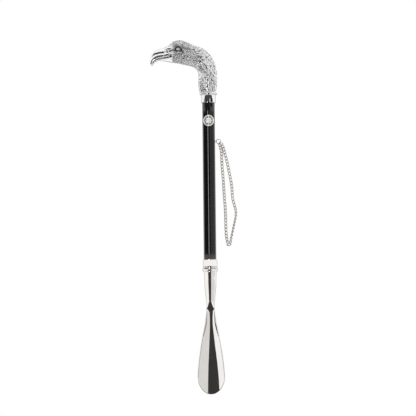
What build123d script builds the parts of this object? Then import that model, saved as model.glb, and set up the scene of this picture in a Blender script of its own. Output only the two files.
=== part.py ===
"""Long shoehorn: a cast eagle's-head handle, a lacquered shaft, a plated blade and a wrist chain.

Frame, in millimetres: +Z runs up the shaft's axis towards the handle, the beak points along -X,
the blade's hollow and the badge face -Y, and the chain hangs on the +X side. The origin is on the
shaft's axis, where the handle's neck meets its collar.
"""

import os
from math import ceil, cos, hypot, radians, sin

from build123d import *

# Shaft and its metal ends
SHAFT_R = 9.0
SHAFT_LENGTH = 251.6
GLUE_GAP = 0.05
SLEEVE_R = 10.35
SLEEVE_EDGE = 0.4
UPPER_BEAD_R = 12.5
UPPER_BEAD_HEIGHT = 3.6
UPPER_SLEEVE_END = -15.0
LOWER_SLEEVE_TOP = -241.2
LOWER_BEAD_R = 11.25
LOWER_GROOVE_R = 9.8
LOWER_GROOVE_HEIGHT = 1.2
LOWER_BEAD_HEIGHT = 5.7
LOWER_BEAD_CORE_R = 9.0
SHAFT_END = -SHAFT_LENGTH
BLADE_TOP = SHAFT_END - LOWER_GROOVE_HEIGHT - LOWER_BEAD_HEIGHT

# Threaded studs that join the handle and the blade to the shaft
STUD_R = 4.0
STUD_IN_SHAFT = 30.0
STUD_IN_BLADE = 24.0
STUD_CHAMFER = 0.8
INSERT_R = 9.0
INSERT_HEIGHT = 12.0
STUD_OVER_INSERT = 2.0

# Handle: each station is its (x, z) on the back of the head, on the throat side, and half its thickness
HEAD_STATIONS = [
    ((10.6, 0.0), (-12.4, 0.0), 11.6),
    ((12.2, 10.0), (-13.9, 10.0), 12.2),
    ((12.9, 20.0), (-14.2, 20.5), 12.4),
    ((12.0, 31.5), (-14.2, 28.5), 12.6),
    ((9.2, 43.6), (-16.2, 33.2), 12.9),
    ((3.2, 54.6), (-19.4, 36.4), 13.3),
    ((-6.6, 64.2), (-24.6, 38.8), 13.9),
    ((-20.0, 69.4), (-31.8, 40.4), 14.5),
    ((-36.0, 76.6), (-39.6, 42.0), 14.7),
    ((-47.8, 76.2), (-47.6, 43.4), 13.2),
    ((-56.0, 70.4), (-55.2, 44.6), 10.2),
    ((-62.8, 66.4), (-62.2, 46.0), 8.2),
    ((-71.4, 64.0), (-69.0, 46.8), 6.9),
    ((-79.6, 59.6), (-73.6, 46.2), 5.6),
    ((-84.0, 52.0), (-76.8, 44.6), 4.2),
    ((-84.4, 45.4), (-78.9, 42.0), 2.7),
    ((-82.8, 40.8), (-80.6, 39.5), 1.2),
]
HEAD_WALL = 2.6
ROUNDNESS = 0.56
CAVITY_STATIONS = 9

# Badge and its two pins, on the front of the shaft
BADGE_Z = -41.3
BADGE_HALF = 8.2
BADGE_THICKNESS = 1.0
BADGE_PIN_R = 0.6
BADGE_PIN_OFFSET = 6.6
BADGE_PIN_DEPTH = 5.0
BADGE_PIN_HEAD_R = 1.1
BADGE_PIN_HEAD = 0.5
PIN_GAP = 0.02

# Screw eye in the side of the shaft, and the jump ring that it holds
RING_Z = -71.0
EYE_R = 1.15
EYE_WIRE_R = 0.45
EYE_X = SHAFT_R + EYE_R + EYE_WIRE_R + 0.05
EYE_FLANGE_R = 1.4
EYE_SEAT_X = 8.8
EYE_FLANGE_END_X = 9.4
EYE_SHANK_R = 0.7
EYE_SHANK_DEPTH = 7.0
RING_R = 3.3
RING_WIRE_R = 0.55
RING_X = EYE_X + RING_R

# Wrist chain: oval links, each spanning one pitch between two joints
LINK_WIRE_R = 0.6
LINK_HALF_WIDTH = 1.7
LINK_HALF_LENGTH = 3.01
LINK_PITCH = 4.68
RING_JOINT_R = 2.68
LEFT_RING_ANGLE = -70
RIGHT_RING_ANGLE = -30
BOTTOM_LINK_X = 27.4
BOTTOM_LINK_Z = -219.9
BOTTOM_REACH = 1.7
BOTTOM_RISE = 0.75
LEFT_ROUTE = [
    (17.8, -84.5), (18.5, -99.0), (20.4, -128.0), (21.3, -146.0),
    (22.8, -170.0), (23.3, -196.0), (24.4, -212.0),
    (BOTTOM_LINK_X - BOTTOM_REACH, BOTTOM_LINK_Z + BOTTOM_RISE),
]
RIGHT_ROUTE = [
    (20.0, -77.2), (22.2, -85.0), (25.8, -99.5), (28.8, -115.0), (32.5, -137.0),
    (33.8, -155.0), (37.9, -172.5), (35.4, -190.0), (31.6, -206.5),
    (BOTTOM_LINK_X + BOTTOM_REACH, BOTTOM_LINK_Z + BOTTOM_RISE),
]
LINKS_PER_SECTION = 5
SECTIONS = 6

# Blade: z, half width, back depth, front depth (below zero where the hollow is), rim and end slope
BLADE_STATIONS = [
    (BLADE_TOP, 9.6, 9.6, 9.6, 0.5, 0.0),
    (-265.0, 9.15, 9.15, 9.15, 0.5, 0.0),
    (-279.0, 8.6, 8.6, 8.6, 0.5, 0.0),
    (-293.0, 7.2, 7.2, 7.0, 0.6, 0.0),
    (-302.0, 6.45, 6.6, 5.4, 0.7, 0.0),
    (-309.0, 6.3, 6.5, 2.2, 0.9, 0.0),
    (-316.5, 6.7, 6.5, -1.0, 1.1, 0.5),
    (-325.0, 7.8, 5.9, -2.2, 1.3, 2.0),
    (-337.0, 9.7, 5.5, -2.8, 1.5, 4.0),
    (-353.0, 12.9, 5.4, -3.3, 1.6, 6.4),
    (-368.5, 15.5, 5.5, -3.7, 1.6, 8.2),
    (-384.2, 17.8, 5.6, -3.95, 1.6, 9.6),
    (-400.0, 19.4, 5.6, -4.0, 1.6, 10.7),
    (-412.0, 20.2, 5.5, -3.95, 1.6, 11.2),
    (-437.0, 20.8, 5.2, -3.7, 1.6, 11.8),
]
NECK_STATIONS = 7
TIP_Z = -434.6
TIP_CENTRE_Z = -408.0
TIP_HALF_WIDTH = 19.95
CLEAR = 30.0


def save(piece, name):
    """Labels a finished piece and writes its STEP."""
    piece.part.label = name
    export_step(piece.part, f"parts/{name}.step")


def head_plane(back, front):
    """The plane across the head through its back and throat points."""
    centre = ((back[0] + front[0]) / 2, 0, (back[1] + front[1]) / 2)
    across = Vector(back[0] - front[0], 0, back[1] - front[1])
    return Plane(origin=centre, x_dir=across, z_dir=across.cross(Vector(0, 1, 0)))


def head_outline(back, front, half_thickness, inset):
    """An oval section across the head, as four quarter curves from its back point."""
    tall = hypot(back[0] - front[0], back[1] - front[1]) / 2 - inset
    wide = half_thickness - inset
    for x, y in ((1, 1), (-1, 1), (-1, -1), (1, -1)):
        ends = [(tall * x, 0), (tall * x, wide * y * ROUNDNESS), (tall * x * ROUNDNESS, wide * y), (0, wide * y)]
        Bezier(*(ends if x == y else reversed(ends)))


def eagle_head():
    """The hollow casting, from the neck's flat base to the hooked tip of the beak."""
    with BuildPart() as head:
        for back, front, half_thickness in HEAD_STATIONS:
            with BuildSketch(head_plane(back, front)):
                with BuildLine():
                    head_outline(back, front, half_thickness, 0)
                make_face()
        loft()
        for back, front, half_thickness in HEAD_STATIONS[1:CAVITY_STATIONS]:
            with BuildSketch(head_plane(back, front)):
                with BuildLine():
                    head_outline(back, front, half_thickness, HEAD_WALL)
                make_face()
        loft(mode=Mode.SUBTRACT)
        with BuildSketch(Plane.XY):
            Circle(INSERT_R)
        extrude(amount=INSERT_HEIGHT, mode=Mode.SUBTRACT)
    save(head, "eagle_head")


def neck_insert():
    """The tapped plug that closes the neck."""
    with BuildPart() as insert:
        with BuildSketch(Plane.XY):
            Circle(INSERT_R - GLUE_GAP)
            Circle(STUD_R + GLUE_GAP, mode=Mode.SUBTRACT)
        extrude(amount=INSERT_HEIGHT)
    save(insert, "neck_insert")


def stud(name, low, high):
    """A length of threaded rod on the shaft's axis, with chamfered ends."""
    with BuildPart() as rod:
        with BuildSketch(Plane.XY.offset(low)):
            Circle(STUD_R)
        extrude(amount=high - low)
        chamfer(rod.edges().filter_by(GeomType.CIRCLE), STUD_CHAMFER)
    save(rod, name)


def collar_profile(inner_r, outer_r, low, high, mode=Mode.ADD):
    """A rectangle on the XZ plane, beside the axis, to be revolved."""
    with Locations(((inner_r + outer_r) / 2, (low + high) / 2)):
        Rectangle(outer_r - inner_r, high - low, mode=mode)


def upper_bead_ring():
    """The half-round collar between the neck and the upper sleeve."""
    bead = UPPER_BEAD_HEIGHT / 2
    with BuildPart() as ring:
        with BuildSketch(Plane.XZ):
            collar_profile(SHAFT_R + GLUE_GAP, UPPER_BEAD_R - bead, -UPPER_BEAD_HEIGHT, 0)
            with Locations((UPPER_BEAD_R - bead, -bead)):
                Circle(bead)
            collar_profile(0, SHAFT_R + GLUE_GAP, -UPPER_BEAD_HEIGHT, 0, Mode.SUBTRACT)
        revolve(axis=Axis.Z)
    save(ring, "upper_bead_ring")


def sleeve(name, low, high, open_end):
    """A plain ferrule sleeve round the shaft, eased where it meets the lacquer."""
    with BuildPart() as tube:
        with BuildSketch(Plane.XZ):
            collar_profile(SHAFT_R + GLUE_GAP, SLEEVE_R, low, high)
        revolve(axis=Axis.Z)
        rims = tube.edges().filter_by(GeomType.CIRCLE).group_by(Axis.Z)
        chamfer(rims[open_end].sort_by(SortBy.RADIUS)[-1], SLEEVE_EDGE)
    save(tube, name)


def lower_bead_ring():
    """The blade's collar: a shallow groove over a fat bead, closed under the shaft's end."""
    groove_low = SHAFT_END - LOWER_GROOVE_HEIGHT
    bead_middle = (groove_low + BLADE_TOP) / 2
    with BuildPart() as ring:
        with BuildSketch(Plane.XZ):
            collar_profile(STUD_R + GLUE_GAP, LOWER_GROOVE_R, groove_low, SHAFT_END)
            collar_profile(STUD_R + GLUE_GAP, LOWER_BEAD_CORE_R, BLADE_TOP, groove_low)
            with Locations((LOWER_BEAD_CORE_R, bead_middle)):
                Ellipse(LOWER_BEAD_R - LOWER_BEAD_CORE_R, LOWER_BEAD_HEIGHT / 2)
        revolve(axis=Axis.Z)
    save(ring, "lower_bead_ring")


def shaft():
    """The lacquered rod, bored for the studs, the badge's pins and the screw eye."""
    with BuildPart() as rod:
        with BuildSketch(Plane.XY.offset(SHAFT_END)):
            Circle(SHAFT_R)
        extrude(amount=SHAFT_LENGTH)
        for end, inwards in ((0, -1), (SHAFT_END, 1)):
            with BuildSketch(Plane.XY.offset(end)):
                Circle(STUD_R + GLUE_GAP)
            extrude(amount=inwards * STUD_IN_SHAFT, mode=Mode.SUBTRACT)
        with BuildSketch(Plane.XZ.offset(SHAFT_R - BADGE_PIN_DEPTH)):
            with Locations(*badge_pin_places()):
                Circle(BADGE_PIN_R + PIN_GAP)
        extrude(amount=CLEAR, mode=Mode.SUBTRACT)
        with BuildSketch(Plane.YZ.offset(EYE_SEAT_X)):
            with Locations((0, RING_Z)):
                Circle(EYE_FLANGE_R + PIN_GAP)
        extrude(amount=CLEAR, mode=Mode.SUBTRACT)
        with BuildSketch(Plane.YZ.offset(EYE_SEAT_X - EYE_SHANK_DEPTH)):
            with Locations((0, RING_Z)):
                Circle(EYE_SHANK_R + PIN_GAP)
        extrude(amount=CLEAR, mode=Mode.SUBTRACT)
    save(rod, "shaft")


def badge_pin_places():
    """The two pins, above and below the badge's middle, on the XZ plane."""
    return [(0, BADGE_Z - BADGE_PIN_OFFSET), (0, BADGE_Z + BADGE_PIN_OFFSET)]


def badge_plate():
    """A round plate, curved to lie on the front of the shaft, with two pin holes."""
    with BuildPart() as plate:
        with BuildSketch(Plane.XY.offset(BADGE_Z - BADGE_HALF)):
            Circle(SHAFT_R + PIN_GAP + BADGE_THICKNESS)
            Circle(SHAFT_R + PIN_GAP, mode=Mode.SUBTRACT)
        extrude(amount=2 * BADGE_HALF)
        with BuildSketch(Plane.XZ):
            with Locations((0, BADGE_Z)):
                Circle(BADGE_HALF)
        extrude(amount=CLEAR, mode=Mode.INTERSECT)
        with BuildSketch(Plane.XZ):
            with Locations(*badge_pin_places()):
                Circle(BADGE_PIN_R + PIN_GAP)
        extrude(amount=CLEAR, mode=Mode.SUBTRACT)
    save(plate, "badge_plate")


def badge_pins():
    """Two round-headed pins through the badge."""
    head_y = SHAFT_R + 2 * PIN_GAP + BADGE_THICKNESS
    with BuildPart() as pins:
        with BuildSketch(Plane.XZ.offset(SHAFT_R - BADGE_PIN_DEPTH + PIN_GAP)):
            with Locations(*badge_pin_places()):
                Circle(BADGE_PIN_R)
        extrude(amount=BADGE_PIN_DEPTH + head_y - SHAFT_R)
        with BuildSketch(Plane.XZ.offset(head_y)):
            with Locations(*badge_pin_places()):
                Circle(BADGE_PIN_HEAD_R)
        extrude(amount=BADGE_PIN_HEAD)
        tops = pins.faces().filter_by(Axis.Y).group_by(Axis.Y)[0]
        fillet(tops.edges(), BADGE_PIN_HEAD * 0.7)
    save(pins, "badge_pins")


def screw_eye():
    """A wire eye with a flange and a threaded shank, its hole parallel to the shaft."""
    with BuildPart() as eye:
        with BuildSketch(Plane.YZ.offset(EYE_SEAT_X)):
            with Locations((0, RING_Z)):
                Circle(EYE_FLANGE_R)
        extrude(amount=EYE_FLANGE_END_X - EYE_SEAT_X)
        with BuildSketch(Plane.YZ.offset(EYE_SEAT_X - EYE_SHANK_DEPTH + PIN_GAP)):
            with Locations((0, RING_Z)):
                Circle(EYE_SHANK_R)
        extrude(amount=EYE_SHANK_DEPTH)
        with Locations((EYE_X, 0, RING_Z)):
            Torus(EYE_R, EYE_WIRE_R)
    save(eye, "screw_eye")


def jump_ring():
    """The soldered ring, hanging edge on through the eye."""
    with BuildPart() as ring:
        with Locations(Location((RING_X, 0, RING_Z), (90, 0, 0))):
            Torus(RING_R, RING_WIRE_R)
    save(ring, "jump_ring")


def chain_joints(ring_angle, route):
    """Evenly spaced joints from the ring's wire to the end of a strand's route."""
    angle = radians(ring_angle)
    start = (RING_X + RING_JOINT_R * cos(angle), RING_Z + RING_JOINT_R * sin(angle))
    with BuildLine(Plane.XZ) as strand:
        Spline(start, *route)
    path = strand.wire()
    count = ceil(path.length / LINK_PITCH)
    return [path @ (i / count) for i in range(count + 1)]


def link_place(start, end, twist):
    """Where a link lies between two joints, its width turned by twist about its length."""
    along = (end - start).normalized()
    beside = along.cross(Vector(0, 1, 0))
    width = beside * cos(radians(twist)) + Vector(0, 1, 0) * sin(radians(twist))
    return Plane(origin=(start + end) * 0.5, x_dir=width, z_dir=along).location


def link_twist(index, count):
    """End links stand across the wire that they hang on, and the rest alternate, 45 degrees each way."""
    side = 1 if index % 2 else -1
    if index in (0, count - 1):
        return 90
    if index in (1, count - 2):
        return 25 * side
    return 45 * side


def one_link():
    """An oval link of round wire, long along Z and wide along X."""
    straight = LINK_HALF_LENGTH - LINK_HALF_WIDTH
    with BuildPart() as link:
        with BuildLine(Plane.XZ) as path:
            Line((-LINK_HALF_WIDTH, -straight), (-LINK_HALF_WIDTH, straight))
            ThreePointArc(
                (-LINK_HALF_WIDTH, straight), (0, LINK_HALF_LENGTH), (LINK_HALF_WIDTH, straight)
            )
            Line((LINK_HALF_WIDTH, straight), (LINK_HALF_WIDTH, -straight))
            ThreePointArc(
                (LINK_HALF_WIDTH, -straight), (0, -LINK_HALF_LENGTH), (-LINK_HALF_WIDTH, -straight)
            )
        with BuildSketch(Plane(origin=path.wire() @ 0, z_dir=path.wire() % 0)):
            Circle(LINK_WIRE_R)
        sweep(path=path.wire())
    return link.part


def links_node(name, link, places):
    """One node holding the separate links that move together."""
    with BuildPart() as links:
        with Locations(*places):
            add(link)
    save(links, name)


def chain():
    """Both strands, cut into sections that fold about the joints they share, and the link that closes them."""
    link = one_link()
    strands = {
        "left": chain_joints(LEFT_RING_ANGLE, LEFT_ROUTE),
        "right": chain_joints(RIGHT_RING_ANGLE, RIGHT_ROUTE),
    }
    for side, joints in strands.items():
        count = len(joints) - 1
        places = [link_place(joints[i], joints[i + 1], link_twist(i, count)) for i in range(count)]
        for section in range(SECTIONS):
            first = section * LINKS_PER_SECTION
            last = first + LINKS_PER_SECTION if section < SECTIONS - 1 else count
            links_node(f"chain_{side}_{section + 1}", link, places[first:last])
            print(f"{side} strand, section {section + 1} turns at x, z:", joints[first].X, joints[first].Z)
    bottom = Plane(origin=(BOTTOM_LINK_X, 0, BOTTOM_LINK_Z), x_dir=(0, 0, 1), z_dir=(1, 0, 0))
    links_node("chain_bottom_link", link, [bottom.location])


def blade_outline(half_width, back, front, rim, slope):
    """A section's closed outline: a curved back, two rounded rims and a front that bulges or is hollow."""
    inner = half_width - rim
    back_pull = back / 0.75
    front_pull = (0.25 * rim - front) / 0.75
    Bezier((-half_width, 0), (slope - half_width, back_pull),
           (half_width - slope, back_pull), (half_width, 0))
    Bezier((half_width, 0), (half_width, -rim), (inner, -rim))
    Bezier((inner, -rim), (inner - slope, front_pull),
           (slope - inner, front_pull), (-inner, -rim))
    Bezier((-inner, -rim), (-half_width, -rim), (-half_width, 0))


def blade():
    """The round neck and the scoop in one piece, bored for its stud, with a rounded tip."""
    with BuildPart() as horn:
        for stations in (BLADE_STATIONS[:NECK_STATIONS], BLADE_STATIONS[NECK_STATIONS - 1:]):
            for z, *outline in stations:
                with BuildSketch(Plane.XY.offset(z)):
                    with BuildLine():
                        blade_outline(*outline)
                    make_face()
            loft()
        with BuildSketch(Plane.XZ):
            with Locations((0, TIP_CENTRE_Z)):
                Rectangle(2 * CLEAR, BLADE_TOP - TIP_CENTRE_Z, align=(Align.CENTER, Align.MIN))
                Ellipse(TIP_HALF_WIDTH, TIP_CENTRE_Z - TIP_Z)
        extrude(amount=CLEAR, both=True, mode=Mode.INTERSECT)
        with BuildSketch(Plane.XY.offset(BLADE_TOP)):
            Circle(STUD_R + GLUE_GAP)
        extrude(amount=-STUD_IN_BLADE, mode=Mode.SUBTRACT)
    save(horn, "blade")


os.makedirs("parts", exist_ok=True)
eagle_head()
neck_insert()
stud("handle_stud", -STUD_IN_SHAFT, INSERT_HEIGHT + STUD_OVER_INSERT)
upper_bead_ring()
sleeve("upper_ferrule", UPPER_SLEEVE_END, -UPPER_BEAD_HEIGHT, open_end=0)
shaft()
badge_plate()
badge_pins()
screw_eye()
jump_ring()
chain()
sleeve("lower_ferrule", SHAFT_END, LOWER_SLEEVE_TOP, open_end=-1)
lower_bead_ring()
blade()
stud("blade_stud", BLADE_TOP - STUD_IN_BLADE, SHAFT_END + STUD_IN_SHAFT)
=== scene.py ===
"""Looks of the long shoehorn: cast eagle head, lacquered shaft, plated blade, badge and curb chain.

Everything is in the CAD frame: +Z up the shaft towards the handle, -X the way the beak points, and
the blade's hollow and the badge face -Y. Shapes are worked out in millimetres and scaled once.
"""

import math

import bmesh
import bpy
import numpy as np
from mathutils import Matrix, Vector


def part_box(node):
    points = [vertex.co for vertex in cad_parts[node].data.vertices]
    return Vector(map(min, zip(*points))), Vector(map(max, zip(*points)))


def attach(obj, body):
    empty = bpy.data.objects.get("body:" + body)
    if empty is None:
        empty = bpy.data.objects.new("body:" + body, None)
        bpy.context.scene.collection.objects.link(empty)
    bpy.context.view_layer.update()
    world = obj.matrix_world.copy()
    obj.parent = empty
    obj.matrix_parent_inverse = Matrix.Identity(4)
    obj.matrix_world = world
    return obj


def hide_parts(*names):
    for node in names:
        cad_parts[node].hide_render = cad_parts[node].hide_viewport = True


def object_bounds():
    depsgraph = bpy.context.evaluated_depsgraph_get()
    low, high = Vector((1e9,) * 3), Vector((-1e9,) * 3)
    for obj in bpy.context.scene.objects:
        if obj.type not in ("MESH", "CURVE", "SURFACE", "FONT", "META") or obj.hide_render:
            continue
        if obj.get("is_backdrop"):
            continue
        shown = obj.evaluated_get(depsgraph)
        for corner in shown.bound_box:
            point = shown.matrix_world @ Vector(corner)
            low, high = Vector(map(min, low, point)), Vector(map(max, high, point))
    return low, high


MM = 0.001
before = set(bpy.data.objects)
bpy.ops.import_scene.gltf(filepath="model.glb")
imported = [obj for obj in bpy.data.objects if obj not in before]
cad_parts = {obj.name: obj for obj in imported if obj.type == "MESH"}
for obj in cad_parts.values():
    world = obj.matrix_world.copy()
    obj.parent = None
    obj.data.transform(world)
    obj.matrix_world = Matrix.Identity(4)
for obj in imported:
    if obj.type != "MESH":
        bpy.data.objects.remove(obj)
cad_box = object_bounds()
rng = np.random.default_rng(7)


def node_box(node):
    """A node's lowest and highest corners, in millimetres."""
    low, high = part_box(node)
    return np.array(low) / MM, np.array(high) / MM


# Places read from the frame
SHAFT_LOW, SHAFT_HIGH = node_box("shaft")
BLADE_LOW, BLADE_HIGH = node_box("blade")
BADGE_LOW, BADGE_HIGH = node_box("badge_plate")
RING_LOW, RING_HIGH = node_box("jump_ring")
EYE_LOW, EYE_HIGH = node_box("screw_eye")

# Sizes of hardware shared by several pieces
SHAFT_R = 9.0
BORE_GAP = 0.05
STUD_BORE_R = 4.1
AXIS_R = 0.01               # a lathed profile's nearest approach to its axis


# ---------------------------------------------------------------- mesh helpers

def make_object(name, points, faces, attributes=None):
    """A smooth-shaded mesh object from points in millimetres, with float attributes on its points."""
    mesh = bpy.data.meshes.new(name)
    mesh.from_pydata((np.asarray(points) * MM).tolist(), [], [list(map(int, f)) for f in faces])
    for key, values in (attributes or {}).items():
        layer = mesh.attributes.new(key, "FLOAT", "POINT")
        layer.data.foreach_set("value", np.asarray(values, np.float32))
    mesh.polygons.foreach_set("use_smooth", [True] * len(mesh.polygons))
    mesh.update()
    piece = bpy.data.objects.new(name, mesh)
    bpy.context.scene.collection.objects.link(piece)
    return piece


def grid_faces(rows, columns, wrap_rows=False, wrap_columns=False):
    """Quads over a grid of points stored row by row."""
    faces = []
    for i in range(rows if wrap_rows else rows - 1):
        for j in range(columns if wrap_columns else columns - 1):
            a, b = i * columns, (i + 1) % rows * columns
            k = (j + 1) % columns
            faces.append((a + j, a + k, b + k, b + j))
    return faces


class Builder:
    """Collects points, faces and attributes of one mesh made of several shells."""

    def __init__(self, keys):
        self.points, self.faces, self.count = [], [], 0
        self.values = {key: [] for key in keys}

    def add(self, points, faces, **values):
        self.points.append(points)
        self.faces += [[i + self.count for i in face] for face in faces]
        for key in self.values:
            self.values[key].append(np.broadcast_to(values.get(key, 0.0), len(points)))
        self.count += len(points)

    def make(self, name):
        values = {key: np.concatenate(v) for key, v in self.values.items()}
        return make_object(name, np.concatenate(self.points), self.faces, values)


def lathe(name, profile, segments=160):
    """Turns a closed (radius, z) profile round the Z axis."""
    angles = np.linspace(0, 2 * math.pi, segments, endpoint=False)
    rows = np.array(profile)
    points = np.stack([
        np.outer(rows[:, 0], np.cos(angles)),
        np.outer(rows[:, 0], np.sin(angles)),
        np.outer(rows[:, 1], np.ones(segments)),
    ], -1).reshape(-1, 3)
    return make_object(name, points, grid_faces(len(rows), segments, True, True))


def arc(centre, radii, start, end, steps):
    """Points on an elliptical arc, angles in degrees."""
    return [
        (centre[0] + radii[0] * math.cos(a), centre[1] + radii[1] * math.sin(a))
        for a in np.radians(np.linspace(start, end, steps))
    ]


def tube(path, radius, segments=14):
    """A closed tube round a closed path of points: its points and faces."""
    path = np.asarray(path)
    ahead = np.roll(path, -1, 0) - np.roll(path, 1, 0)
    ahead /= np.linalg.norm(ahead, axis=1)[:, None]
    centre = path.mean(0)
    out = path - centre
    out -= (out * ahead).sum(1)[:, None] * ahead
    out /= np.linalg.norm(out, axis=1)[:, None]
    side = np.cross(ahead, out)
    angles = np.linspace(0, 2 * math.pi, segments, endpoint=False)
    points = path[:, None] + radius * (
        np.cos(angles)[None, :, None] * out[:, None] + np.sin(angles)[None, :, None] * side[:, None]
    )
    return points.reshape(-1, 3), grid_faces(len(path), segments, True, True)


def bell(distance, width):
    """1 at distance 0, fading to nothing past about twice the width."""
    return np.exp(-(distance / width) ** 2)


def smooth_step(low, high, x):
    """0 below low, 1 above high, smooth between; falling instead of rising where high is below low."""
    t = np.clip((x - low) / (high - low), 0, 1)
    return t * t * (3 - 2 * t)


def catmull(keys, t):
    """Rows of keys interpolated at parameters t, from 0 to len(keys) - 1."""
    keys = np.asarray(keys, float)
    padded = np.vstack([2 * keys[0] - keys[1], keys, 2 * keys[-1] - keys[-2]])
    i = np.clip(np.floor(t).astype(int), 0, len(keys) - 2)
    u = (t - i)[..., None]
    a, b, c, d = (padded[i + k] for k in range(4))
    return b + 0.5 * u * (c - a + u * (2 * a - 5 * b + 4 * c - d + u * (3 * (b - c) + d - a)))


# ---------------------------------------------------------------- materials

class Nodes:
    """A short way to write a material's nodes."""

    def __init__(self, name):
        self.material = bpy.data.materials.new(name)
        self.material.use_nodes = True
        self.tree = self.material.node_tree
        self.shader = self.tree.nodes["Principled BSDF"]

    def node(self, kind, settings=None, **inputs):
        made = self.tree.nodes.new(kind)
        for key, value in (settings or {}).items():
            setattr(made, key, value)
        for key, value in inputs.items():
            self.put(made, key.replace("_", " "), value)
        return made

    def put(self, node, socket, value):
        """Links or sets an input, given its name or, as i0, i1 and so on, its number."""
        by_number = socket[0] == "i" and socket[1:].isdigit()
        socket = node.inputs[int(socket[1:]) if by_number else socket]
        if isinstance(value, bpy.types.NodeSocket):
            self.tree.links.new(value, socket)
        else:
            socket.default_value = value

    def set(self, **inputs):
        for key, value in inputs.items():
            self.put(self.shader, key.replace("_", " "), value)

    def place(self):
        return self.node("ShaderNodeTexCoord").outputs["Object"]

    def noise(self, scale, detail=3.0, stretch=(1, 1, 1)):
        mapped = self.node("ShaderNodeMapping", Vector=self.place(), Scale=stretch)
        made = self.node("ShaderNodeTexNoise", Vector=mapped.outputs[0], Scale=scale, Detail=detail)
        return made.outputs["Fac"]

    def ramp(self, value, low, high, out_low, out_high):
        return self.node("ShaderNodeMapRange", Value=value, From_Min=low, From_Max=high,
                         To_Min=out_low, To_Max=out_high).outputs[0]

    def math(self, operation, a, b=0.0):
        return self.node("ShaderNodeMath", {"operation": operation}, i0=a, i1=b).outputs[0]

    def mix(self, factor, a, b):
        made = self.node("ShaderNodeMix", {"data_type": "RGBA"}, i0=factor, i6=a, i7=b)
        return made.outputs[2]

    def attribute(self, name):
        return self.node("ShaderNodeAttribute", {"attribute_name": name}).outputs["Fac"]

    def bump(self, height, distance, strength=1.0):
        made = self.node("ShaderNodeBump", Height=height, Distance=distance, Strength=strength)
        self.set(Normal=made.outputs[0])


def polished(name, colour, roughness=0.05, wave=0.0):
    """Mirror plate: faint tone drift, fingertip haze, hairlines and, in a forging, a slight waviness."""
    m = Nodes(name)
    tone = m.ramp(m.noise(45), 0.3, 0.7, 0.0, 1.0)
    dull = tuple(c * 0.93 for c in colour[:3]) + (1,)
    m.set(Base_Color=m.mix(tone, colour, dull), Metallic=1.0)
    haze = m.ramp(m.noise(140, 5), 0.35, 0.75, roughness * 0.7, roughness * 1.9)
    m.set(Roughness=haze)
    hairlines = m.noise(900, 2, stretch=(1, 1, 0.08))
    height = m.math("MULTIPLY", hairlines, 0.04)
    if wave:
        height = m.math("ADD", height, m.math("MULTIPLY", m.noise(22, 2), wave))
    m.bump(height, 0.0004, 0.35)
    return m.material


def shade_painted_metal(name, colour, dark, metal=1.0, gloss=0.09):
    """Polished high points over hollows darkened by painted shade, taken from the cavity shade painted on
    the points.
    """
    m = Nodes(name)
    # painted shade: the cavity shade on the points, mottled a little by noise, darkens the colour towards
    # the dark shade colour and makes it less metallic and rougher
    cavity = m.attribute("cavity")
    mottled_shade = m.math("MULTIPLY", m.ramp(m.noise(700, 4), 0.3, 0.7, 0.75, 1.25), cavity)
    shade_mix = m.ramp(mottled_shade, 0.28, 0.85, 0.0, 1.0)
    m.set(Base_Color=m.mix(shade_mix, colour, dark), Metallic=m.ramp(shade_mix, 0, 1, metal, 0.6 * metal))
    smears = m.ramp(m.noise(260, 4), 0.3, 0.7, 0.0, 0.06)
    m.set(Roughness=m.math("ADD", m.ramp(shade_mix, 0, 1, gloss, 0.5), smears))
    barbs = m.attribute("barb")
    lines = m.math("SINE", m.math("MULTIPLY", barbs, 2 * math.pi))
    cast = m.noise(1100, 3)
    m.bump(m.math("ADD", m.math("MULTIPLY", lines, 0.5), m.math("MULTIPLY", cast, 0.35)), 0.00022, 0.8)
    return m.material


def lacquer(name):
    """Deep gloss black: a clear coat over black wood, with faint orange peel and hairline polish marks."""
    m = Nodes(name)
    depth = m.noise(60, 4, stretch=(1, 1, 0.15))
    tone = m.ramp(depth, 0.35, 0.7, 0, 1)
    m.set(Base_Color=m.mix(tone, (0.002, 0.002, 0.0022, 1), (0.006, 0.006, 0.007, 1)))
    m.set(Roughness=m.ramp(m.noise(180, 4), 0.3, 0.7, 0.05, 0.1))
    m.shader.inputs["Coat Weight"].default_value = 0.6
    m.shader.inputs["Coat Roughness"].default_value = 0.03
    m.shader.inputs["IOR"].default_value = 1.5
    peel = m.math("ADD", m.noise(500, 2), m.math("MULTIPLY", m.noise(1400, 2, stretch=(1, 1, 0.05)), 0.3))
    m.bump(peel, 0.00002, 0.25)
    return m.material


def bare_metal(name, colour, roughness, lines):
    """Machined, hidden hardware: turning marks or thread-like rings along Z."""
    m = Nodes(name)
    m.set(Base_Color=m.mix(m.noise(120, 4), colour, tuple(c * 0.7 for c in colour[:3]) + (1,)), Metallic=1.0)
    m.set(Roughness=m.ramp(m.noise(300, 3), 0.3, 0.7, roughness * 0.8, roughness * 1.3))
    wave = m.node("ShaderNodeTexWave", {"bands_direction": "Z"},
                  Vector=m.place(), Scale=lines, Distortion=0.3)
    m.bump(wave.outputs["Fac"], 0.0003, 0.6)
    return m.material


SILVER = polished("silver_plate", (0.93, 0.93, 0.935, 1))
WARM = polished("warm_plate", (0.93, 0.905, 0.875, 1), 0.035, 0.5)
CHAIN = polished("chain_plate", (0.78, 0.735, 0.69, 1), 0.14)
CAST = shade_painted_metal("antiqued_silver", (0.93, 0.93, 0.935, 1), (0.035, 0.035, 0.038, 1))
MEDAL = shade_painted_metal("badge_silver", (0.92, 0.91, 0.88, 1), (0.012, 0.012, 0.013, 1), 0.45, 0.35)
LACQUER = lacquer("black_lacquer")
BRASS = bare_metal("turned_brass", (0.72, 0.5, 0.2, 1), 0.3, 300)
STEEL = bare_metal("threaded_steel", (0.5, 0.5, 0.51, 1), 0.35, 130)


def finish_piece(piece, material, body, slot, node):
    """Gives a piece its material and body, and hides the CAD node it stands for; the slot is not used."""
    piece.data.materials.clear()
    piece.data.materials.append(material)
    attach(piece, body)
    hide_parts(node)


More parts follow.
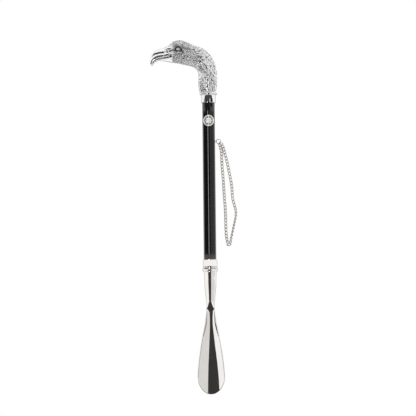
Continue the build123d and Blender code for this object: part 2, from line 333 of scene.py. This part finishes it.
def dress(node, material):
    """Gives a CAD node its material."""
    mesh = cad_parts[node].data
    mesh.materials.clear()
    mesh.materials.append(material)


# ---------------------------------------------------------------- eagle head

# Each station: the back of the head (x, z), the throat side (x, z), half the thickness
HEAD = [
    (10.6, 0.0, -12.4, 0.0, 11.6),
    (12.2, 10.0, -13.9, 10.0, 12.2),
    (12.9, 20.0, -14.2, 20.5, 12.4),
    (12.0, 31.5, -14.2, 28.5, 12.6),
    (9.2, 43.6, -16.2, 33.2, 12.9),
    (3.2, 54.6, -19.4, 36.4, 13.3),
    (-6.6, 64.2, -24.6, 38.8, 13.9),
    (-20.0, 69.4, -31.8, 40.4, 14.5),
    (-36.0, 76.6, -39.6, 42.0, 14.7),
    (-47.8, 76.2, -47.6, 43.4, 13.2),
    (-56.0, 70.4, -55.2, 44.6, 10.2),
    (-62.8, 66.4, -62.2, 46.0, 8.2),
    (-71.4, 64.0, -69.0, 46.8, 6.9),
    (-79.6, 59.6, -73.6, 46.2, 5.6),
    (-84.0, 52.0, -76.8, 44.6, 4.2),
    (-84.4, 45.4, -78.9, 42.0, 2.7),
    (-82.8, 40.8, -80.6, 39.5, 1.2),
]
FACE_T = 9.6                # station parameter where feathers give way to the bare face
FEATHER_INSET, FACE_INSET = 0.85, 0.25
EYE_AT, EYE_R, EYE_Y = (-43.0, 62.2), 2.5, 11.0
NOSTRIL_AT, GAPE_AT = (-59.2, 61.4), (-54.2, 53.0)

# Lines of the face, as (x, z) points
MOUTH = [(-52.5, 52.0), (-58.0, 51.2), (-65.0, 50.0), (-71.0, 49.2), (-75.5, 47.6), (-78.6, 45.0),
         (-79.8, 42.0)]
BROW = [(-57.0, 66.6), (-51.0, 67.8), (-45.0, 67.2), (-39.0, 65.0), (-33.0, 63.0), (-26.0, 62.0)]
LORE = [(-47.0, 61.6), (-52.0, 60.4), (-56.0, 59.0)]
CERE = [(-60.5, 69.0), (-63.4, 64.0), (-62.6, 59.0), (-63.6, 55.0), (-62.0, 52.6)]
CHEEK = [(-40.0, 56.0), (-47.0, 53.6), (-52.0, 51.0)]


def head_section(t):
    """Centre, half height vector and half thickness of the head at station parameter t."""
    keys = catmull(HEAD, t)
    back, front = keys[..., 0:2], keys[..., 2:4]
    return (back + front) / 2, (back - front) / 2, keys[..., 4]


def head_point(t, a, inset=0.0):
    """Points on the plain head: t along it from the neck, a round it from the crown."""
    t, a = np.broadcast_arrays(np.asarray(t, float), np.asarray(a, float))
    centre, half, wide = head_section(t)
    tall = np.linalg.norm(half, axis=-1)
    shrink = (1 - inset / np.maximum(tall, 1.0))[..., None]
    flat = centre + half * np.cos(a)[..., None] * shrink
    y = (wide - inset) * np.sin(a)
    return np.stack([flat[..., 0], y, flat[..., 1]], -1)


def head_normal(t, a):
    """Outward normals of the plain head."""
    step = 1e-3
    along = head_point(t + step, a) - head_point(t - step, a)
    round_it = head_point(t, a + step) - head_point(t, a - step)
    normal = np.cross(round_it, along)
    return normal / np.maximum(np.linalg.norm(normal, axis=-1), 1e-9)[..., None]


def to_curve(points, x, z):
    """Distance from (x, z) to a polyline, and how far along it the nearest point is, from 0 to 1."""
    points = np.asarray(points, float)
    lengths = np.linalg.norm(np.diff(points, axis=0), axis=1)
    best, share, done = np.full(x.shape, 1e9), np.zeros(x.shape), 0.0
    for p, q, length in zip(points[:-1], points[1:], lengths):
        u = np.clip(((x - p[0]) * (q[0] - p[0]) + (z - p[1]) * (q[1] - p[1])) / length**2, 0, 1)
        d = np.hypot(x - p[0] - u * (q[0] - p[0]), z - p[1] - u * (q[1] - p[1]))
        nearer = d < best
        best = np.where(nearer, d, best)
        share = np.where(nearer, (done + u * length) / lengths.sum(), share)
        done += length
    return best, share


def face_relief(x, z, side):
    """Height in millimetres of the face's cast detail, and the shade painted into its hollows."""
    mouth, _ = to_curve(MOUTH, x, z)
    brow, along_brow = to_curve(BROW, x, z)
    lore, _ = to_curve(LORE, x, z)
    cere, _ = to_curve(CERE, x, z)
    cheek, _ = to_curve(CHEEK, x, z)
    eye = np.hypot((x - EYE_AT[0]) / 1.25, z - EYE_AT[1])
    nostril = np.hypot((x - NOSTRIL_AT[0]) / 1.5, (z - NOSTRIL_AT[1]) / 0.95)
    gape = np.hypot((x - GAPE_AT[0]) / 1.9, (z - GAPE_AT[1]) / 1.1)
    height = 2.1 * bell(brow, 1.9) * (1 - 0.55 * along_brow)
    height += -2.6 * bell(eye, 3.6) - 1.3 * bell(lore, 1.6) - 0.9 * bell(mouth, 0.55)
    height += 0.45 * bell(mouth - 1.3, 0.8) * (z > 49) - 0.5 * bell(cere, 0.5) + 0.5 * bell(cheek, 1.6)
    height += 0.6 * smooth_step(-62.4, -60.6, x) * smooth_step(-54.5, -57.0, x) * smooth_step(53, 56, z)
    height += -1.5 * bell(nostril, 0.95) - 1.4 * bell(gape, 1.0)
    # painted shade in the mouth line, lore, cere edge, nostril, gape and the ring round the eye's socket
    dark = 1.2 * bell(mouth, 0.42) + 0.9 * bell(lore, 0.8) + 0.7 * bell(cere, 0.35)
    dark += 1.3 * bell(nostril, 0.8) + 1.3 * bell(gape, 0.9) + 1.0 * bell(eye - 3.2, 1.3)
    return height * side, np.clip(dark * side, 0, 1)


def head_base():
    """The smooth casting under the feathers, with the face's relief, closed at neck and beak."""
    rows, columns = 380, 232
    t = np.linspace(0, len(HEAD) - 1, rows)[:, None]
    a = np.linspace(0, 2 * math.pi, columns, endpoint=False)[None]
    t, a = np.broadcast_arrays(t, a)
    face = smooth_step(FACE_T - 0.9, FACE_T + 0.5, t)
    points = head_point(t, a, FEATHER_INSET)
    points = points * (1 - face[..., None]) + head_point(t, a, FACE_INSET) * face[..., None]
    normal = head_normal(t, a)
    sideways = np.abs(np.sin(a))
    side = smooth_step(0.25, 0.75, sideways)
    height, dark = face_relief(points[..., 0], points[..., 2], side)
    fade = smooth_step(5.6, 7.2, t) * smooth_step(0.3, 0.6, sideways)
    tail = smooth_step(len(HEAD) - 1, len(HEAD) - 1.6, t)
    points = points + normal * (height * fade * tail)[..., None]
    # painted shade along the underside of the face and beak
    underside_shade = 0.35 * bell(np.mod(a, 2 * math.pi) - math.pi, 0.35) * face
    # painted shade: the face's hollows, the whole base under the feathers, and the underside line
    cavity = np.maximum(dark * fade, (1 - face) * 0.7) + underside_shade
    streak = (t * 2.6 + np.abs(np.sin(a * 9)) * 0.6) * smooth_step(9.6, 8.4, t)
    faces = grid_faces(rows, columns, False, True)
    flat = points.reshape(-1, 3)
    ends = np.stack([flat[:columns].mean(0), flat[-columns:].mean(0)])
    last = (rows - 1) * columns
    faces += [(rows * columns, (j + 1) % columns, j) for j in range(columns)]
    faces += [(rows * columns + 1, last + j, last + (j + 1) % columns) for j in range(columns)]
    cavity = np.concatenate([cavity.reshape(-1), [0.0, 0.0]])
    barb = np.concatenate([streak.reshape(-1), [0.0, 0.0]])
    return np.vstack([flat, ends]), faces, cavity, barb


def feather(t0, a0, length, width, lift, lean):
    """One closed, overlapping feather lying back along the head: points, faces, cavity, barb."""
    rows, columns = 15, 11
    p = np.linspace(0, 1, rows)[:, None]
    q = np.linspace(-1, 1, columns)[None]
    p, q = np.broadcast_arrays(p, q)
    step = 1e-2
    here = head_point(t0, a0)
    per_t = np.linalg.norm(head_point(t0 + step, a0) - here) / step
    per_a = np.linalg.norm(head_point(t0, a0 + step) - here) / step
    breadth = np.sqrt(np.clip(1 - (np.abs(p - 0.42) / 0.585) ** 2.4, 0, 1))
    t = np.maximum(t0 - length / per_t * (p - 0.12 * q**2 * p), -0.08)
    a = a0 + (width / 2 * q * breadth + lean * p**1.5) / per_a
    surface, normal = head_point(t, a, FEATHER_INSET), head_normal(t, a)
    crown = 1 - np.abs(q) ** 2.2
    rachis = bell(q, 0.13) * smooth_step(0.0, 0.25, p) * 0.16
    curl = lift * (0.15 + 0.85 * p**1.3)
    top = crown * (0.22 + curl) - 0.16 * (1 - crown) + rachis
    top -= 0.3 * smooth_step(0.25, 0.0, p)
    under = np.minimum(top - 0.05, -0.35 + 0.25 * curl * crown)
    points = np.concatenate([
        (surface + normal * top[..., None]).reshape(-1, 3),
        (surface + normal * under[..., None]).reshape(-1, 3),
    ])
    size = rows * columns
    faces = grid_faces(rows, columns)
    faces += [tuple(reversed([i + size for i in face])) for face in grid_faces(rows, columns)]
    rim = [i * columns for i in range(rows)] + [(rows - 1) * columns + j for j in range(1, columns)]
    rim += [i * columns + columns - 1 for i in range(rows - 2, -1, -1)] + list(range(columns - 2, 0, -1))
    faces += [(k, after, after + size, k + size) for k, after in zip(rim, rim[1:] + rim[:1])]
    # painted shade at each feather's root, where the feather before lies over it, and along its edges under
    # its neighbours, with a darker line down the middle
    shade = 1.3 * np.clip(1 - p / 0.5, 0, 1) ** 1.1 + 0.9 * np.abs(q) ** 4 + 0.35 * bell(q, 0.07)
    barb = p * 5.5 - np.abs(q) * 2.4
    return points, faces, np.tile(shade.reshape(-1), 2), np.tile(barb.reshape(-1), 2)


def feather_rows():
    """What feather() takes for each feather, from the brow back and down the neck."""
    t = 9.9
    row = 0
    while t > 0.4:
        back = smooth_step(8.6, 4.6, t)
        length = 5.6 + 5.4 * back
        width = 3.0 + 4.2 * back
        _, half, wide = head_section(np.array(t))
        girth = math.pi * (float(np.linalg.norm(half)) + float(wide))
        count = max(8, round(girth / (width * 0.82)))
        for k in range(count):
            a = 2 * math.pi * (k + 0.5 * (row % 2)) / count + rng.normal(0, 0.035)
            jitter = rng.uniform(0.86, 1.14, 3)
            root = t + rng.normal(0, 0.03)
            x, _, z = head_point(root, a)
            if near_face(x, z, a):
                continue
            lift = (0.32 + 0.75 * back) * jitter[0]
            yield root, a, length * jitter[1], width * jitter[2], lift, rng.normal(0, 0.9)
        speed = float(np.linalg.norm(head_point(t + 0.01, 1.2) - head_point(t, 1.2))) / 0.01
        t -= (2.5 + 2.3 * back) / speed
        row += 1


def near_face(x, z, a):
    """True where the bare face, the brow or the eye leaves no room for a feather's root."""
    on_side = abs(math.sin(a)) > 0.3
    return (on_side and x < -38.5 and 57.5 < z < 69.0) or x < -58.5 or (on_side and x < -52.0)


def eyeball(side):
    """A slightly bulging eye with a drilled pupil, set in its socket."""
    rows, columns = 24, 32
    v, u = np.broadcast_arrays(np.linspace(0, 0.5 * math.pi, rows)[:, None],
                               np.linspace(0, 2 * math.pi, columns, endpoint=False)[None])
    depth = np.cos(v) * 1.5 - 0.5 * bell(v, 0.32)
    x = EYE_AT[0] + EYE_R * np.sin(v) * np.cos(u)
    z = EYE_AT[1] + EYE_R * np.sin(v) * np.sin(u)
    points = np.stack([x, side * (EYE_Y + depth), z], -1).reshape(-1, 3)
    # painted shade in the drilled pupil
    shade = (0.9 * bell(v, 0.25)).reshape(-1)
    return points, grid_faces(rows, columns, False, True), shade


def eagle():
    """The whole head as one casting."""
    head = Builder(["cavity", "barb"])
    points, faces, cavity, barb = head_base()
    head.add(points, faces, cavity=cavity, barb=barb)
    for place in feather_rows():
        points, faces, cavity, barb = feather(*place)
        head.add(points, faces, cavity=cavity, barb=barb)
    for side in (-1, 1):
        points, faces, cavity = eyeball(side)
        head.add(points, faces, cavity=cavity)
    finish_piece(head.make("eagle_head_cast"), CAST, "body", "antiqued_silver", "eagle_head")


# ---------------------------------------------------------------- turned pieces

def turned_pieces():
    """The shaft, both collars and both sleeves, with their edges eased."""
    low, high = SHAFT_LOW[2], SHAFT_HIGH[2]
    ease = 0.3
    profile = [(AXIS_R, low), (SHAFT_R - ease, low), (SHAFT_R, low + ease)]
    profile += [(SHAFT_R, z) for z in np.linspace(low + 1, high - 1, 60)]
    profile += [(SHAFT_R, high - ease), (SHAFT_R - ease, high), (AXIS_R, high)]
    finish_piece(lathe("lacquered_rod", profile), LACQUER, "body", "black_lacquer", "shaft")
    inner = SHAFT_R + BORE_GAP
    (_, _, z0), (r1, _, z1) = node_box("upper_bead_ring")
    bead = (z1 - z0) / 2
    profile = [(inner, z0)] + arc((r1 - bead, z0 + bead), (bead, bead), -90, 90, 28) + [(inner, z1)]
    finish_piece(lathe("upper_bead", profile), SILVER, "body", "polished_silver", "upper_bead_ring")
    for name, node, material, slot in (
        ("upper_sleeve", "upper_ferrule", SILVER, "polished_silver"),
        ("lower_sleeve", "lower_ferrule", WARM, "warm_silver"),
    ):
        (_, _, z0), (r1, _, z1) = node_box(node)
        edge = 0.35
        profile = [(inner, z0)] + arc((r1 - edge, z0 + edge), (edge, edge), -90, 0, 7)
        profile += [(r1, z) for z in np.linspace(z0 + 1, z1 - 1, 8)]
        profile += arc((r1 - edge, z1 - edge), (edge, edge), 0, 90, 7) + [(inner, z1)]
        finish_piece(lathe(name, profile), material, "body", slot, node)
    (_, _, z0), (r1, _, z1) = node_box("lower_bead_ring")
    groove_r, groove = 9.8, 1.2
    middle, core = (z0 + z1 - groove) / 2, 9.0
    half = middle - z0
    profile = [(STUD_BORE_R, z0)] + arc((core, middle), (r1 - core, half), -86, 62, 36)
    profile += [(groove_r, z1 - groove * 0.72), (groove_r, z1 - 0.25)]
    profile += [(groove_r - 0.2, z1), (STUD_BORE_R, z1)]
    finish_piece(lathe("lower_bead", profile), WARM, "body", "warm_silver", "lower_bead_ring")


# ---------------------------------------------------------------- blade

# z below the blade's top, half width, back depth, front depth (below zero where hollow), rim, and
# how far in the section's control points sit
BLADE = [
    (0.0, 9.6, 9.6, 9.6, 0.5, 0.0),
    (6.5, 9.15, 9.15, 9.15, 0.5, 0.0),
    (20.5, 8.6, 8.6, 8.6, 0.5, 0.0),
    (34.5, 7.2, 7.2, 7.0, 0.6, 0.0),
    (43.5, 6.45, 6.6, 5.4, 0.7, 0.0),
    (50.5, 6.3, 6.5, 2.2, 0.9, 0.0),
    (58.0, 6.7, 6.5, -1.0, 1.1, 0.5),
    (66.5, 7.8, 5.9, -2.2, 1.3, 2.0),
    (78.5, 9.7, 5.5, -2.8, 1.5, 4.0),
    (94.5, 12.9, 5.4, -3.3, 1.6, 6.4),
    (110.0, 15.5, 5.5, -3.7, 1.6, 8.2),
    (125.7, 17.8, 5.6, -3.95, 1.6, 9.6),
    (141.5, 19.4, 5.6, -4.0, 1.6, 10.7),
    (153.5, 20.2, 5.5, -3.95, 1.6, 11.2),
    (178.5, 20.8, 5.2, -3.7, 1.6, 11.8),
]
TIP_RUN = 26.6
TIP_HALF_WIDTH = 19.95
RIM_R = 1.1


def bezier(points, steps):
    """Points on a Bezier curve."""
    t = np.linspace(0, 1, steps)[:, None]
    points = [np.asarray(p, float)[None] for p in points]
    while len(points) > 1:
        points = [a * (1 - t) + b * t for a, b in zip(points[:-1], points[1:])]
    return points[0]


def blade_curves(half_width, back, front, rim, slope):
    """Right halves of a section's back and front, from the middle out, as (x, y) points."""
    inner = half_width - rim
    back_line = bezier([(-half_width, 0), (slope - half_width, back / 0.75),
                        (half_width - slope, back / 0.75), (half_width, 0)], 201)[100:]
    pull = (0.25 * rim - front) / 0.75
    front_line = bezier([(-inner, -rim), (slope - inner, pull),
                         (inner - slope, pull), (inner, -rim)], 201)[100:]
    corner = bezier([(inner, -rim), (half_width, -rim), (half_width, 0)], 24)[1:]
    return back_line, np.vstack([front_line, corner])


def blade_shell():
    """Neck and scoop as one closed skin, its tip cut by a half ellipse and its rims rounded."""
    top, tip = BLADE_HIGH[2], BLADE_LOW[2]
    depths = [row[0] for row in BLADE]
    half = 64
    across = np.sin(np.linspace(-0.5, 0.5, 2 * half + 1) * math.pi)
    run = np.linspace(0, top - tip - TIP_RUN, 190)
    end = top - tip - TIP_RUN * (1 - np.sin(np.linspace(0, 0.5, 60)[1:] * math.pi * 0.998))
    rows = []
    for down in np.concatenate([run, end]):
        t = np.interp(down, depths, range(len(BLADE)))
        half_width, back, front, rim, slope = catmull([row[1:] for row in BLADE], np.array([t]))[0]
        past = max(down - (top - tip - TIP_RUN), 0) / TIP_RUN
        reach = half_width
        if past > 0:
            reach = min(half_width, TIP_HALF_WIDTH * math.sqrt(max(1 - past**2, 0)))
        back_line, front_line = blade_curves(half_width, back, front, rim, slope)
        x = np.abs(across) * reach
        y_back = np.interp(x, back_line[:, 0], back_line[:, 1])
        y_front = np.interp(x, front_line[:, 0], front_line[:, 1])
        scoop = smooth_step(52, 74, down)
        edge = reach - x
        if past > 0:
            rho = np.sqrt((x / TIP_HALF_WIDTH) ** 2 + past**2)
            steepness = np.sqrt((x / TIP_HALF_WIDTH**2) ** 2 + (past / TIP_RUN) ** 2)
            steepness /= np.maximum(rho, 1e-6)
            edge = np.minimum(edge + 0.02, np.maximum(1 - rho, 0) / np.maximum(steepness, 1e-6))
        round_off = np.sqrt(np.clip(1 - np.clip(1 - edge / RIM_R, 0, 1) ** 2, 0, 1))
        middle, thick = (y_back + y_front) / 2, (y_back - y_front) / 2
        thick = thick * (1 - scoop + scoop * round_off)
        line = np.sign(across) * x
        z = np.full_like(line, top - down)
        rows.append(np.concatenate([
            np.stack([line, middle + thick, z], -1),
            np.stack([line, middle - thick, z], -1)[::-1][1:-1],
        ]))
    points = np.concatenate(rows)
    columns = len(rows[0])
    faces = grid_faces(len(rows), columns, False, True)
    faces.append(tuple(range(columns - 1, -1, -1)))
    last = (len(rows) - 1) * columns
    faces.append(tuple(last + j for j in range(columns)))
    piece = make_object("blade_scoop", points, faces)
    tidy = bmesh.new()
    tidy.from_mesh(piece.data)
    bmesh.ops.remove_doubles(tidy, verts=tidy.verts, dist=1e-6)
    bmesh.ops.recalc_face_normals(tidy, faces=tidy.faces)
    tidy.to_mesh(piece.data)
    tidy.free()
    finish_piece(piece, WARM, "body", "warm_silver", "blade")


# ---------------------------------------------------------------- badge

def badge():
    """A plain round medallion: a rim, a beaded ring and an eight-petal rosette, curved round the shaft."""
    centre_z = (BADGE_LOW[2] + BADGE_HIGH[2]) / 2
    radius = (BADGE_HIGH[2] - BADGE_LOW[2]) / 2 - 0.05
    rings, spokes = 90, 240
    r = np.linspace(0, 1, rings)[:, None] * radius
    a = np.linspace(0, 2 * math.pi, spokes, endpoint=False)[None]
    r, a = np.broadcast_arrays(r, a)
    petals = 3.7 + 1.5 * np.abs(np.cos(4 * a)) ** 0.7
    rim = smooth_step(radius - 1.9, radius - 1.6, r)
    flower = smooth_step(petals + 0.25, petals - 0.35, r)
    vein = bell(np.mod(a + math.pi / 8, math.pi / 4) - math.pi / 8, 0.06) * smooth_step(1.6, 2.4, r)
    boss = smooth_step(1.7, 1.3, r)
    beads = smooth_step(0.5, 0.25, np.hypot(r - 5.55, (np.mod(a, math.pi / 14) - math.pi / 28) * 5.55))
    raised = np.clip(np.maximum.reduce([rim, flower * (1 - 0.5 * vein), boss, beads]), 0, 1)
    height = 0.25 + 0.6 * raised + 0.12 * boss
    height = height * smooth_step(radius, radius - 0.2, r) + 0.02
    x, dz = r * np.cos(a), r * np.sin(a)
    out = SHAFT_R + height
    angle = np.arcsin(np.clip(x / (SHAFT_R + 1.05), -1, 1))
    points = np.stack([out * np.sin(angle), -out * np.cos(angle), centre_z + dz], -1).reshape(-1, 3)
    back = np.stack([(SHAFT_R + 0.005) * np.sin(angle[-1]), -(SHAFT_R + 0.005) * np.cos(angle[-1]),
                     centre_z + dz[-1]], -1)
    faces = grid_faces(rings, spokes, False, True)
    last = (rings - 1) * spokes
    faces += [(last + j, last + (j + 1) % spokes, rings * spokes + (j + 1) % spokes, rings * spokes + j)
              for j in range(spokes)]
    # painted shade on the badge's low ground between rim, beads and rosette, and round its back edge against
    # the shaft
    cavity = np.concatenate([(1.1 * (1 - raised)).reshape(-1), np.ones(spokes)])
    piece = make_object("badge_medallion", np.vstack([points, back]), faces,
                        {"cavity": cavity, "barb": np.zeros(len(cavity))})
    finish_piece(piece, MEDAL, "body", "badge_silver", "badge_plate")


# ---------------------------------------------------------------- chain

def ring_path(centre, radius, u, v, steps=72):
    """A circle of points in the plane of u and v."""
    angles = np.linspace(0, 2 * math.pi, steps, endpoint=False)
    return centre + radius * (np.outer(np.cos(angles), u) + np.outer(np.sin(angles), v))


def anchor():
    """The screw eye with its flange, and the jump ring through it."""
    wire, ring_wire = 0.45, 0.55
    shank_r, flange_r, flange_back, flange_x = 0.7, 1.4, 8.8, 9.4
    ring_r = (RING_HIGH[2] - RING_LOW[2]) / 2 - ring_wire
    ring_z = (RING_HIGH[2] + RING_LOW[2]) / 2
    ring_x = (RING_HIGH[0] + RING_LOW[0]) / 2
    eye_r = (EYE_HIGH[1] - EYE_LOW[1]) / 2 - wire
    eye = Builder([])
    eye.add(*tube(ring_path(np.array([EYE_HIGH[0] - wire - eye_r, 0, ring_z]), eye_r,
                            np.array([1, 0, 0]), np.array([0, 1, 0])), wire, 18))
    profile = [(AXIS_R, EYE_LOW[0]), (shank_r, EYE_LOW[0]), (shank_r, flange_back), (flange_r, flange_back)]
    profile += arc((flange_r - 0.3, flange_x - 0.3), (0.3, 0.3), 0, 90, 6)
    profile += [(0.5, flange_x), (AXIS_R, flange_x)]
    angles = np.linspace(0, 2 * math.pi, 40, endpoint=False)
    rows = np.array(profile)
    points = np.stack([
        np.outer(rows[:, 1], np.ones(40)),
        np.outer(rows[:, 0], np.cos(angles)),
        ring_z + np.outer(rows[:, 0], np.sin(angles)),
    ], -1).reshape(-1, 3)
    eye.add(points, grid_faces(len(rows), 40, True, True))
    finish_piece(eye.make("wire_eye"), CHAIN, "body", "chain_silver", "screw_eye")
    ring = Builder([])
    ring.add(*tube(ring_path(np.array([ring_x, 0, ring_z]), ring_r,
                             np.array([1, 0, 0]), np.array([0, 0, 1]), 96), ring_wire, 20))
    finish_piece(ring.make("soldered_ring"), CHAIN, "ring", "chain_silver", "jump_ring")


def separate_links(node):
    """Centre and long direction (pointing down) of each link in a CAD node, from the top down."""
    work = bmesh.new()
    work.from_mesh(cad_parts[node].data)
    bmesh.ops.remove_doubles(work, verts=work.verts, dist=1e-6)
    left, found = set(work.verts), []
    while left:
        front = [left.pop()]
        island = []
        while front:
            vert = front.pop()
            island.append(np.array(vert.co) / MM)
            for e in vert.link_edges:
                other = e.other_vert(vert)
                if other in left:
                    left.remove(other)
                    front.append(other)
        cloud = np.array(island)
        centre = (cloud.max(0) + cloud.min(0)) / 2
        along = np.linalg.svd(cloud - cloud.mean(0), full_matrices=False)[2][0]
        found.append((centre, along * (-1 if along[2] > 0 else 1)))
    work.free()
    return sorted(found, key=lambda link: -link[0][2])


LINK_HALF_LENGTH, LINK_HALF_WIDTH, LINK_WIRE = 3.01, 1.7, 0.6
LINK_TWIST = 45.0
LINK_SQUARENESS = 2.2       # how quickly a link's straight sides turn into its ends


def curb_link(centre, along, upper_turn, lower_turn):
    """A link whose wire turns from one end to the other, so that the chain can lie flat."""
    a = np.linspace(0, 2 * math.pi, 64, endpoint=False)
    straight = LINK_HALF_LENGTH - LINK_HALF_WIDTH
    wide = LINK_HALF_WIDTH * np.cos(a)
    down = LINK_HALF_WIDTH * np.sin(a)
    down += straight * np.tanh(np.sin(a) * LINK_SQUARENESS) / math.tanh(LINK_SQUARENESS)
    share = (down / LINK_HALF_LENGTH + 1) / 2
    turn = np.radians(upper_turn + (lower_turn - upper_turn) * smooth_step(0.08, 0.92, share))
    beside = np.cross(along, [0, 1, 0])
    beside /= np.linalg.norm(beside)
    path = (centre + down[:, None] * along + (wide * np.cos(turn))[:, None] * beside
            + (wide * np.sin(turn))[:, None] * np.array([0, 1.0, 0]))
    return tube(path, LINK_WIRE)


def mean_turn(side, index, count):
    """How far a link's middle is turned from face on, in degrees."""
    start = max(0, 45 - 15 * index)
    from_end = count - 1 - index
    if side == "left":
        return start - max(0, 45 - 15 * from_end)
    edge_on = 72 * float(smooth_step(17, 25, index))
    return start + edge_on + max(0, (135 - 72) * (1 - from_end / 5))


def chain():
    """Every link of both strands as a curb link, on the body of the CAD links it stands for."""
    sections = sorted(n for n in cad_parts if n.startswith("chain_left_"))
    for side in ("left", "right"):
        nodes = [f"chain_{side}_{k + 1}" for k in range(len(sections))]
        links = [(node, *link) for node in nodes for link in separate_links(node)]
        for k, node in enumerate(nodes):
            section = Builder([])
            for index, (owner, centre, along) in enumerate(links):
                if owner == node:
                    middle = mean_turn(side, index, len(links))
                    section.add(*curb_link(centre, along, middle + LINK_TWIST, middle - LINK_TWIST))
            finish_piece(section.make(f"curb_{side}_{k + 1}"), CHAIN, f"chain_{k + 1}", "chain_silver", node)
    bottom = Builder([])
    centre, _ = separate_links("chain_bottom_link")[0]
    bottom.add(*curb_link(centre, np.array([1.0, 0, 0]), 0, 0))
    finish_piece(bottom.make("curb_bottom"), CHAIN, f"chain_{len(sections)}", "chain_silver",
                 "chain_bottom_link")


# ---------------------------------------------------------------- studio

def emission(name, brightness):
    """A plain glowing surface, grey or white."""
    material = bpy.data.materials.new(name)
    material.use_nodes = True
    nodes, links = material.node_tree.nodes, material.node_tree.links
    nodes.clear()
    glow, out = nodes.new("ShaderNodeEmission"), nodes.new("ShaderNodeOutputMaterial")
    glow.inputs["Color"].default_value = (brightness, brightness, brightness, 1)
    links.new(glow.outputs[0], out.inputs[0])
    return material


def card(name, low, high, near, far, distance, brightness):
    """A curved upright flag, seen only in reflections, from near to far in degrees right of -Y."""
    steps = 24
    angles = np.radians(np.linspace(near, far, steps))
    points = [(distance * math.sin(a), -distance * math.cos(a), z) for z in (low, high) for a in angles]
    hide_but_glossy(make_object(name, points, grid_faces(2, steps)), brightness)


def floor_flag(name, height, left, right, front, back, brightness):
    """A level studio flag, seen only in reflections."""
    piece = make_object(name, [(left, front, height), (right, front, height), (right, back, height),
                               (left, back, height)], [(0, 1, 2, 3)])
    hide_but_glossy(piece, brightness)


def hide_but_glossy(piece, brightness):
    """Makes a stage piece show in reflections alone."""
    piece.data.materials.append(emission(piece.name, brightness))
    piece.visible_camera = False
    piece.visible_diffuse = False
    piece.visible_shadow = False
    piece.visible_transmission = False
    piece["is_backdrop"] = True


FLOOR_Z, FLOOR_HALF = -560.0, 6000.0


def studio():
    """White floor and room, with dark flags that draw the lines seen in the polished metal."""
    world = bpy.data.worlds.new("white_room")
    bpy.context.scene.world = world
    world.use_nodes = True
    world.node_tree.nodes["Background"].inputs[0].default_value = (1, 1, 1, 1)
    world.node_tree.nodes["Background"].inputs[1].default_value = 1.0
    corners = [(-1, -1), (1, -1), (1, 1), (-1, 1)]
    floor = make_object("floor", [(x * FLOOR_HALF, y * FLOOR_HALF, FLOOR_Z) for x, y in corners],
                        [(0, 1, 2, 3)])
    floor.data.materials.append(emission("pale_floor", 1.0))
    floor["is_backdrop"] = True
    # behind the part: greys the outlines
    card("back_grey", -600, 500, 140, 220, 520, 0.42)
    # the head: a dark band above eye level, and dark below the jaw
    card("head_top_flag", 215, 560, -75, 40, 520, 0.03)
    floor_flag("jaw_flag", 9, -260, 160, -620, -70, 0.06)
    # the upper sleeve's lines
    sleeve = [(-75, -58, 0.3), (-6, 8, 0.05), (14, 32, 0.45), (40, 72, 0.01)]
    for k, (near, far, tone) in enumerate(sleeve):
        card(f"sleeve_flag_{k}", -5, 7.9, near, far, 150, tone)
    # the shaft: black all round, with one bright line and a grey right half
    shaft = [(-110, -19, 0.04), (-19, -12, 6.0), (-12, 14, 0.01), (14, 110, 0.42)]
    for k, (near, far, tone) in enumerate(shaft):
        card(f"shaft_flag_{k}", -223, 1, near, far, 250, tone)
    # the neck and the blade
    card("neck_flag", FLOOR_Z, -224, -15, 3, 700, 0.03)
    floor_flag("neck_floor", -555, -190, 35, -700, -20, 0.03)
    card("blade_flag", FLOOR_Z, -275, -36, 15, 600, 0.04)
    floor_flag("blade_floor", -550, -230, 130, -560, -60, 0.04)
    card("blade_grey", FLOOR_Z, -275, 15, 100, 600, 0.74)


FRAME_WIDTH_MM = 599.04
CAMERA_DISTANCE = 3000.0
CAMERA_ROLL = 0.6
CAMERA_ELEVATION = -4.0
CAMERA_TARGET = (-2.2, 0.0, -167.0)


def camera():
    """A long lens, nearly square on, slightly below the object's middle and rolled a little."""
    data = bpy.data.cameras.new("camera")
    data.sensor_width = 36.0
    data.lens = CAMERA_DISTANCE * data.sensor_width / FRAME_WIDTH_MM
    data.clip_end = 50.0
    data.dof.use_dof = False
    seat = bpy.data.objects.new("camera", data)
    bpy.context.scene.collection.objects.link(seat)
    up_angle, roll = math.radians(CAMERA_ELEVATION), math.radians(CAMERA_ROLL)
    back = Vector((0, -math.cos(up_angle), math.sin(up_angle)))
    right = Vector((1, 0, 0))
    up = back.cross(right)
    rolled_right = right * math.cos(roll) - up * math.sin(roll)
    rolled_up = up * math.cos(roll) + right * math.sin(roll)
    place = (Vector(CAMERA_TARGET) + back * CAMERA_DISTANCE) * MM
    turn = Matrix((rolled_right, rolled_up, back)).transposed().to_4x4()
    seat.matrix_world = Matrix.Translation(place) @ turn
    bpy.context.scene.camera = seat


camera()
studio()
eagle()
turned_pieces()
blade_shell()
badge()
anchor()
chain()
dress("badge_pins", MEDAL)
dress("neck_insert", BRASS)
dress("handle_stud", STEEL)
dress("blade_stud", STEEL)
bpy.context.scene.view_settings.view_transform = "Standard"
boxes = [cad_box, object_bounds()]
[[list(map(float, corner)) for corner in box] for box in boxes]
